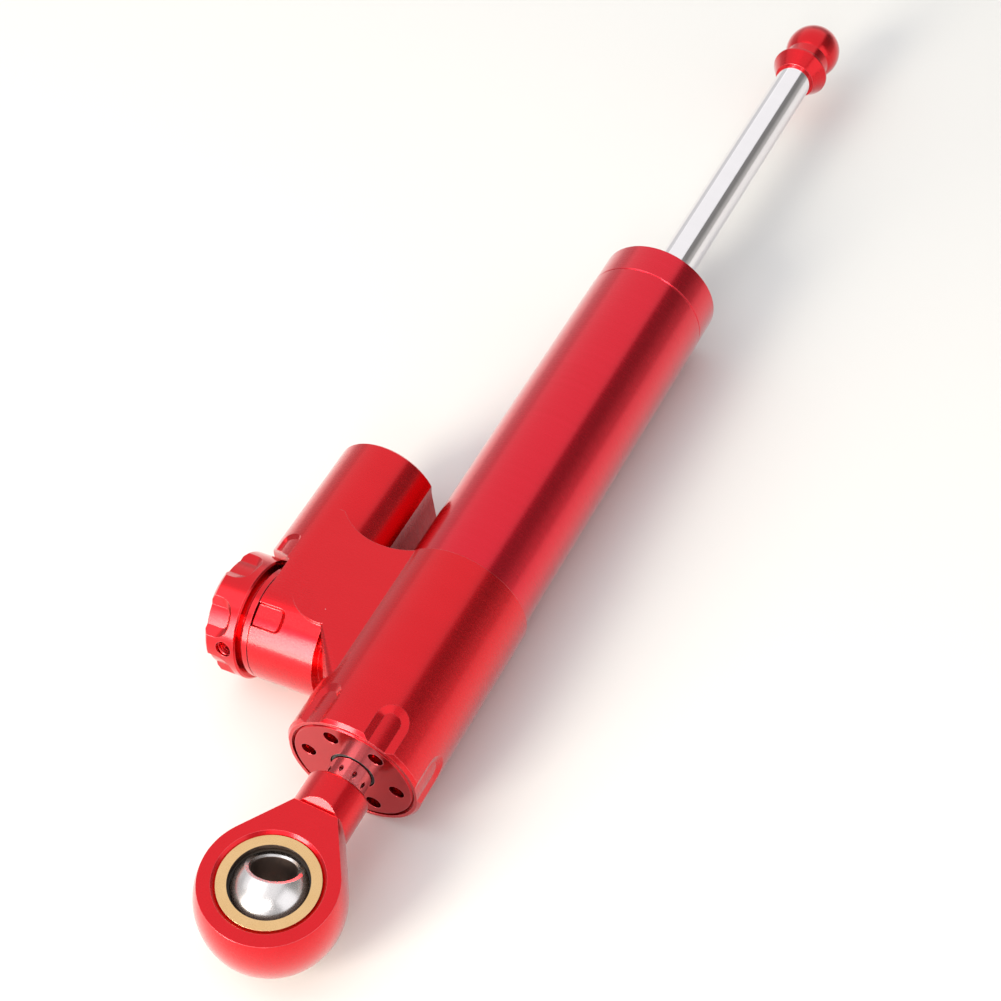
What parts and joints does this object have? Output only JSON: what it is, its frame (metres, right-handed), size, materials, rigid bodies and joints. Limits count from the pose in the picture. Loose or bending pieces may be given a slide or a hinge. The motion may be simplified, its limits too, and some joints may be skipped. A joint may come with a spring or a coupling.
{
  "type": "steering damper",
  "caption": "Through-rod steering damper with a side reservoir, a turning damping knob, and a rod end eye that holds a tilting pierced ball.",
  "frame": {"origin": "centre of the pierced ball in the rod end eye, on the damper's long axis", "axes": "+X along the rod from the eye to the tail cap, +Y towards the side with the knob, +Z square to the flat top of the head"},
  "size_m": [0.3315, 0.0655, 0.034],
  "materials": {
    "anodised_red": "satin anodised",
    "bare_aluminium": "turned",
    "chromed_steel": "ground and chromed",
    "polished_steel": "polished",
    "plain_steel": "turned",
    "black_steel": "blackened",
    "race_brass": "fine turned",
    "bearing_bronze": "sintered",
    "black_rubber": "matt",
    "slip_liner": "filled slippery plastic"
  },
  "bodies": {
    "damper_body": {"housing": "anodised_red", "barrel_tube": "anodised_red", "front_gland": "anodised_red", "front_wiper": "black_rubber", "front_guide_bush": "bearing_bronze", "front_rod_seal": "black_rubber", "front_o_ring": "black_rubber", "rear_cap": "anodised_red", "rear_wiper": "black_rubber", "rear_guide_bush": "bearing_bronze", "rear_rod_seal": "black_rubber", "rear_o_ring": "black_rubber", "reservoir_cap": "anodised_red", "reservoir_o_ring": "black_rubber", "bleed_screw": "plain_steel", "adjuster_collar": "anodised_red", "collar_gasket": "black_rubber", "needle_seat": "race_brass", "detent_ball": "polished_steel", "detent_spring": "plain_steel"},
    "sliding_ring": {"piston_ring": "slip_liner"},
    "rod_assembly": {"piston_rod": "chromed_steel", "piston": "bare_aluminium", "piston_clips": "plain_steel", "rod_end_eye": "anodised_red", "bearing_race": "race_brass", "rod_end_cap": "anodised_red"},
    "liner": {"bearing_liner": "slip_liner"},
    "eye_ball": {"ball": "polished_steel"},
    "knob": {"adjuster_knob": "anodised_red", "adjuster_spindle": "plain_steel", "spindle_o_ring": "black_rubber", "knob_grub_screw": "black_steel"},
    "needle": {"metering_needle": "plain_steel"},
    "separator": {"separator_piston": "bare_aluminium", "separator_o_ring": "black_rubber"}
  },
  "joints": [
    {"name": "piston_travel", "type": "slide", "parent": "damper_body", "child": "sliding_ring", "axis": [1, 0, 0], "range_m": [-0.093, 0.005]},
    {"name": "rod_turn", "type": "hinge", "parent": "sliding_ring", "child": "rod_assembly", "pos_m": [0.164, 0, 0], "axis": [1, 0, 0], "continuous": true},
    {"name": "liner_turn", "type": "hinge", "parent": "rod_assembly", "child": "liner", "pos_m": [0, 0, 0], "axis": [0, -0.1331, 0.9911], "continuous": true},
    {"name": "ball_tilt", "type": "hinge", "parent": "liner", "child": "eye_ball", "pos_m": [0, 0, 0], "axis": [-0.2147, 0.968, 0.13], "range_deg": [-64, 2]},
    {"name": "knob_turn", "type": "hinge", "parent": "damper_body", "child": "knob", "pos_m": [0.06475, 0.04, 0], "axis": [0, 1, 0], "range_deg": [-324, 720]},
    {"name": "needle_travel", "type": "slide", "parent": "damper_body", "child": "needle", "axis": [0, 1, 0], "range_m": [-0.00095, 0.0021]},
    {"name": "separator_travel", "type": "slide", "parent": "damper_body", "child": "separator", "axis": [1, 0, 0], "range_m": [-0.01, 0.006]}
  ],
  "couplings": [
    {"joint": "needle_travel", "follows": "knob_turn", "m_per_rad": 0.00015915}
  ]
}
